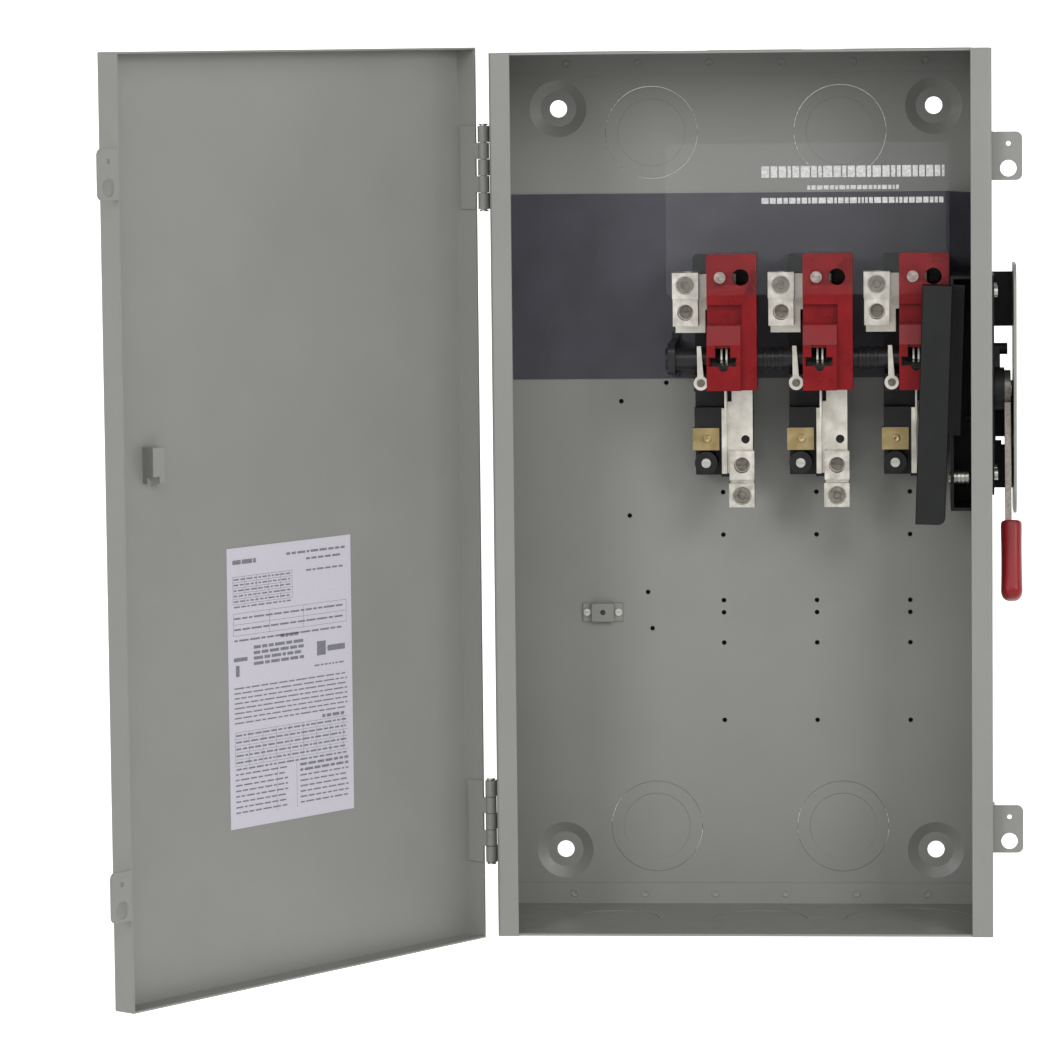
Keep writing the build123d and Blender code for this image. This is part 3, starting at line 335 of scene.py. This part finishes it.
def bars(name, rectangles, face, rise, material, body, move=None):
    """Thin printed bars: each rectangle (x0, x1, z0, z1) is a slab from face to face + rise along Y, and
    move, if given, takes all the points to where they belong."""
    corners = np.array([(a, b, c) for b in (0, 1) for c in (0, 1) for a in (0, 1)])
    rect = np.array(rectangles, float)
    x = rect[:, None, 0] + (rect[:, None, 1] - rect[:, None, 0]) * corners[None, :, 0]
    z = rect[:, None, 2] + (rect[:, None, 3] - rect[:, None, 2]) * corners[None, :, 2]
    y = face + rise * corners[None, :, 1] + 0 * x
    points = np.stack([x, y, z], -1).reshape(-1, 3)
    if move:
        points = move(points)
    quads = np.array([(0, 1, 3, 2), (4, 6, 7, 5), (0, 4, 5, 1), (2, 3, 7, 6), (0, 2, 6, 4), (1, 5, 7, 3)])
    if rise < 0:
        quads = quads[:, ::-1]
    faces = (quads[None] + 8 * np.arange(len(rect))[:, None, None]).reshape(-1, 4)
    made = new_piece(name, points, faces.tolist(), smooth=False)
    made.data.materials.append(material)
    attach(made, body)


def words(x0, x1, z, height, rng, word, gap):
    """Bars of uneven width from x0 to x1, in mm, that stand for one row of words: each is 0.4 to 1.4 words
    wide, and none starts in the last 2 mm."""
    found = []
    x = x0
    while x < x1 - 2:
        width = min(word * (0.4 + rng.random()), x1 - x)
        found.append((x, x + width, z - height / 2, z + height / 2))
        x += width + gap
    return found


# All of the label's print is in millimetres, across from its left edge and down from its top. A block of
# words is: left end, right end, middle of the first row, rows, their pitch, height, word and gap.
word_blocks = [
    (6, 32, 11.0, 1, 0, 3.4, 9, 1.0),
    (66, 133, 9.0, 1, 0, 1.8, 7, 1.6),
    (88, 127, 14.5, 1, 0, 1.6, 7, 1.6),
    (7, 70, 24.2, 6, 4.2, 1.2, 5, 1.6),
    (88, 133, 23.5, 1, 0, 1.4, 6, 1.6),
    (7, 129, 54.0, 3, 8.5, 1.4, 9, 1.6),
    (58, 78, 71.5, 1, 0, 2.6, 6, 1.0),
    (28, 84, 77.5, 4, 4.2, 2.4, 8, 1.6),
    (96, 131, 98.5, 1, 0, 1.2, 4, 1.6),
    (6, 133, 107.5, 8, 3.8, 1.1, 9, 1.6),
    (104, 129, 138.5, 1, 0, 2.4, 6, 1.6),
    (7, 131, 143.6, 6, 5.2, 1.4, 6, 1.6),
]
# two columns of words side by side at the bottom; the right one starts with two taller rows
for n in range(8):
    word_blocks.append((6, 64, 173.5 + n * 4.2, 1, 0, 1.2, 7, 1.6))
    word_blocks.append((78, 133, 173.5 + n * 4.2, 1, 0, 2.0 if n < 2 else 1.2, 7, 1.6))
# plain blocks where the real label has its marks: left, right, top and bottom
mark_blocks = [(6, 21, 84, 87), (8, 12, 90, 98.5), (99, 109, 80, 91), (111, 131, 84, 88.5)]
# rules of the tables: level ones by their ends and heights, upright ones by their ends and places across
rule = 0.28
level_rules = [(6, 72, 22 + 4.2 * np.arange(6)), (6, 133, 50 + 8.5 * np.arange(3)),
               (6, 133, 141 + 5.2 * np.arange(6))]
upright_rules = [(22, 43, 6 + 13.2 * np.arange(6)), (50, 67, (6, 46, 84, 133)),
                 (141, 167, 6 + 15.2 * np.arange(9)), (171, 206, (52, 74))]

rng = np.random.default_rng(7)
printed = list(mark_blocks)
for start, end, first, rows, pitch, height, word, gap in word_blocks:
    for n in range(rows):
        printed += words(start, end, first + n * pitch, height, rng, word, gap)
printed += [(start, end, z, z + rule) for start, end, heights in level_rules for z in heights]
printed += [(x, x + rule, top, bottom) for top, bottom, places in upright_rules for x in places]
read = np.array(printed) / 1000
on_label = np.stack([label_right - read[:, 1], label_right - read[:, 0],
                     label_top - read[:, 3], label_top - read[:, 2]], -1)
bars("door_label_print", on_label, label_face, ink_rise, ink, "door", on_door)

# ---- ground strap --------------------------------------------------------------------------------------
# A small bridge of sheet steel for the grounding kit, enamelled with the box and held by two screws.
dress(grey_enamel, "ground_strap")
dress(zinc, "ground_screws")

# ---- insulating liner ----------------------------------------------------------------------------------
# Vulcanised fibre sheet, blue-black and slightly waxy, folded out to a flap beside the mechanism.
liner, tree, shader = finish_of("vulcanised_fibre", Roughness=0.5)
tone, _, place = clouded(tree, "3d3b45", "33323a", 35.0, 5.0)
join(tree, shader, "Base Color", tone)
grain = add(tree, "ShaderNodeTexNoise", {"Vector": place, "Scale": 1400.0, "Detail": 2.0})
relief = add(tree, "ShaderNodeBump", {"Height": grain.outputs["Fac"], "Strength": 0.2, "Distance": 0.0002})
join(tree, shader, "Normal", relief.outputs["Normal"])
dress(liner, "insulating_liner")


# ---- pole bases ----------------------------------------------------------------------------------------
# Three moulded bases of black glass-filled polyester, compression moulded: softened edges, a semi-gloss
# skin with faint flow marks, and fine pits. Each is held to the back wall by a zinc plated screw.
def moulding(name, light, dark, rough, edge=0.0005, sheen=0.32):
    """A moulded or dipped skin, or thick paint: flow marks at about 12 mm, fine pits, and edges rounded by
    the edge radius."""
    material, tree, shader = finish_of(name, Roughness=rough)
    shader.inputs["Specular IOR Level"].default_value = sheen
    tone, flow, place = clouded(tree, light, dark, 80.0, 6.0)
    join(tree, shader, "Base Color", tone)
    surface(tree, shader, place, flow, (rough - 0.05, rough + 0.07), 1500.0, 1.0, 0.12, edge)
    return material


black = moulding("black_polyester", "141415", "0c0c0d", 0.36)
dress(black, *(f"pole_base_{n}" for n in (1, 2, 3)))
dress(zinc, "base_screws")

# ---- line and load contacts ----------------------------------------------------------------------------
# Tin plated copper bars with their contact tongues, and the plated arm riveted beside each pole.
tin = plated("tin_plated_copper", "e2ded6", "c2bdb3", 0.36)
dress(tin, *(f"{end}_contact_{n}" for end in ("line", "load") for n in (1, 2, 3)), "terminal_arms")
# A darker zinc: the dull plate of the rivets and lug screws, and on the handle lever painted shade for the
# shade the lever stands in.
dull_zinc_and_shade = plated("dull_zinc_and_shade_plate", "86817a", "605b54", 0.42, 400.0)
dress(dull_zinc_and_shade, "arm_rivets")

# ---- brass straps --------------------------------------------------------------------------------------
# Rolled brass strips across the load posts, a little tarnished, pressed with a small round dimple.
brass = plated("tarnished_brass", "ab9a74", "8f7d55", 0.36)
dress(brass, "brass_straps")
strap_low, strap_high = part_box("brass_straps")
pole_pitch, half_strap = 0.0762, 0.0100
dimple_profile = [(0.0034, 0.0), (0.0030, -0.0004), (0.0022, -0.0005), (0.0012, -0.0001), (0.0, 0.0)]
strap_places = [(strap_high[0] - half_strap - n * pole_pitch, strap_low[1] - hair,
                 (strap_low[2] + strap_high[2]) / 2) for n in range(3)]
turned("brass_strap_dimples", strap_places, dimple_profile, brass, "enclosure")

# ---- wire lugs -----------------------------------------------------------------------------------------
# Tin plated aluminium extrusions. Each has a socket set screw that clamps the wire, deep in a ring of
# clearance, and a steel screw in a counterbore that holds the lug to its contact.
lug_metal = plated("tin_plated_aluminium", "d8d4cc", "b4b0a7", 0.36, 150.0)
dress(lug_metal, *(f"{end}_lug_{n}" for end in ("line", "load") for n in (1, 2, 3)))
# The set screws take a darker copy of the lug's aluminium: painted shade for their place deep in the
# clearance rings.
shaded_set_screw_metal = plated("set_screw_aluminium_painted_shade", "88847c", "66625a", 0.4, 300.0)
dress(shaded_set_screw_metal, "wire_set_screws")
dress(dull_zinc_and_shade, "lug_screws")

# ---- rotor and blades ----------------------------------------------------------------------------------
# A black moulded crossbar in a bearing bracket carries a pair of tin plated copper blades per pole.
bar_black = moulding("black_rotor_polyester", "232326", "19191b", 0.33)
dress(bar_black, "rotor_bar", "rotor_bearing")
dress(tin, *(f"blades_{n}" for n in (1, 2, 3)))

# ---- arc shields ---------------------------------------------------------------------------------------
# Red moulded hoods over the blades, each held by one screw behind the clear shield.
red = moulding("red_polyester", "7a0a12", "6a060c", 0.3, sheen=0.2)
dress(red, *(f"arc_shield_{n}" for n in (1, 2, 3)))
screw_steel = plated("bright_screw_steel", "b8aca6", "8e827c", 0.35, 300.0)
dress(screw_steel, "arc_shield_screws")

# ---- operating mechanism -------------------------------------------------------------------------------
# A folded steel frame and cover, two cranks and the handle's hub, all painted black, with a zinc plated
# shaft, spring and spring anchor.
dark_steel = moulding("black_paint", "161718", "101112", 0.52, 0.0008, 0.25)
dress(dark_steel, "mechanism_cover")
frame_paint = moulding("black_frame_paint", "101112", "0a0b0c", 0.5, 0.0008)
dress(frame_paint, "mechanism_frame", "rotor_crank", "handle_crank", "handle_hub")
dress(zinc, "spring_anchor", "drive_spring", "handle_shaft")

# ---- line shield ---------------------------------------------------------------------------------------
# Clear polycarbonate, cut from sheet with polished edges, with three rows of white print as plain bars.
clear, tree, shader = finish_of("clear_polycarbonate", Roughness=0.05, IOR=1.2, Alpha=0.015)
join(tree, shader, "Base Color", clouded(tree, "e4e9ea", "d8dee0", 30.0)[0])
dress(clear, "line_shield")

white_ink, tree, shader = finish_of("white_ink", Roughness=0.5)
join(tree, shader, "Base Color", clouded(tree, "c8c8c8", "a2a2a2", 500.0)[0])
# the rows of print, in mm from the frame's origin: left end, right end, middle, height, word and gap
shield_rows = [(16, 161, 255.0, 9.0, 5.2, 1.2), (52, 126, 242.5, 3.2, 3.8, 1.0),
               (16, 161, 232.2, 4.6, 4.2, 1.0)]
rng = np.random.default_rng(21)
shield_print = []
for start, end, z, height, word, gap in shield_rows:
    shield_print += words(start, end, z, height, rng, word, gap)
shield_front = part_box("line_shield")[0][1]
bars("line_shield_print", np.array(shield_print) / 1000, shield_front, -ink_rise, white_ink, "enclosure")

# ---- handle bracket and guard --------------------------------------------------------------------------
# A black painted bracket bolted to the right wall, and a grey plate that guards the handle's throw.
dress(frame_paint, "handle_bracket")
dress(zinc, "bracket_screws")
guard_grey = enamel("guard_grey", "9a9a96", "90908c", 0.1)
dress(guard_grey, "guard_plate")

# ---- handle --------------------------------------------------------------------------------------------
# A zinc plated lever on the shaft, painted in the darker dull zinc for the shade it stands in, with a grip
# of red
# vinyl dipped over its end: a flattened tube that is domed at the bottom and rolled in at its open top.
# the lever's darker zinc is painted shade
dress(dull_zinc_and_shade, "handle_lever")
grip_vinyl = moulding("dipped_vinyl", "861018", "760a11", 0.36, 0.0006)
pivot = place_of("handle_turn")
lean = math.radians(18.0)                       # forward of straight down
lever_low, lever_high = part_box("handle_lever")
grip_low, grip_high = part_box("handle_grip")
grip_x = (grip_low[0] + grip_high[0]) / 2
lever_x = (lever_low[0] + lever_high[0]) / 2
grip_top, grip_end = 0.110, 0.173               # distances from the pivot along the lever
half_width, half_depth = (grip_high[0] - grip_low[0]) / 2 - 0.0001, 0.0124
dome, dome_fullness, squareness, sides = 0.008, 0.75, 3.0, 48
waist = 0.045                                   # the middle is this share slimmer than the ends
lip, mouth_depth, floor_depth = 0.0013, 0.006, 0.009


def superellipse(rows, around, power):
    """Closed sections about the lever: each row gives distance along it, the two half sizes and the
    section's centre in X; across = half size * sign(c) |c| ** (2 / power), with c a cosine or a sine."""
    along, half_x, half_e, centre = np.array(rows, float).T
    angle = np.linspace(0, 2 * math.pi, around, endpoint=False)
    across = np.sign(np.cos(angle)) * np.abs(np.cos(angle)) ** (2 / power)
    ahead = np.sign(np.sin(angle)) * np.abs(np.sin(angle)) ** (2 / power)
    x = centre[:, None] + np.outer(half_x, across)
    e = np.outer(half_e, ahead)
    s = np.repeat(along[:, None], around, 1)
    y = pivot[1] - s * math.sin(lean) + e * math.cos(lean)
    z = pivot[2] - s * math.cos(lean) - e * math.sin(lean)
    return np.stack([x, y, z], -1)


# outside: a full dome at the end, then a side that is a little slimmer in its middle
turn = np.linspace(math.pi / 2, 0, 12)
taper = np.maximum(np.cos(turn), 0.002) ** dome_fullness
rows = [(grip_end - dome + dome * math.sin(a), half_width * t, half_depth * t, grip_x)
        for a, t in zip(turn, taper)]
for share in np.linspace(0.05, 0.93, 14):
    slim = 1 - waist * math.sin(math.pi * share)
    rows.append((grip_end - dome - share * (grip_end - dome - grip_top), half_width * slim,
                 half_depth * slim, grip_x))
# lip: over a half circle to the inside, then down to a floor that closes on the lever
for a in np.linspace(0, math.pi, 9):
    inward = lip * (1 - math.cos(a))
    rows.append((grip_top + lip - lip * math.sin(a), half_width - 0.0002 - inward,
                 half_depth - 0.0003 - inward, grip_x))
rows += [(grip_top + mouth_depth, half_width - 0.003, half_depth - 0.0033, grip_x),
         (grip_top + floor_depth, 0.003, 0.0078, lever_x),
         (grip_top + floor_depth, 0.00001, 0.00001, lever_x)]
sections = superellipse(rows, sides, squareness)
grip = new_piece("vinyl_grip", sections, grid_faces(len(rows), sides))
grip.data.materials.append(grip_vinyl)
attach(grip, "handle")
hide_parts("handle_grip")
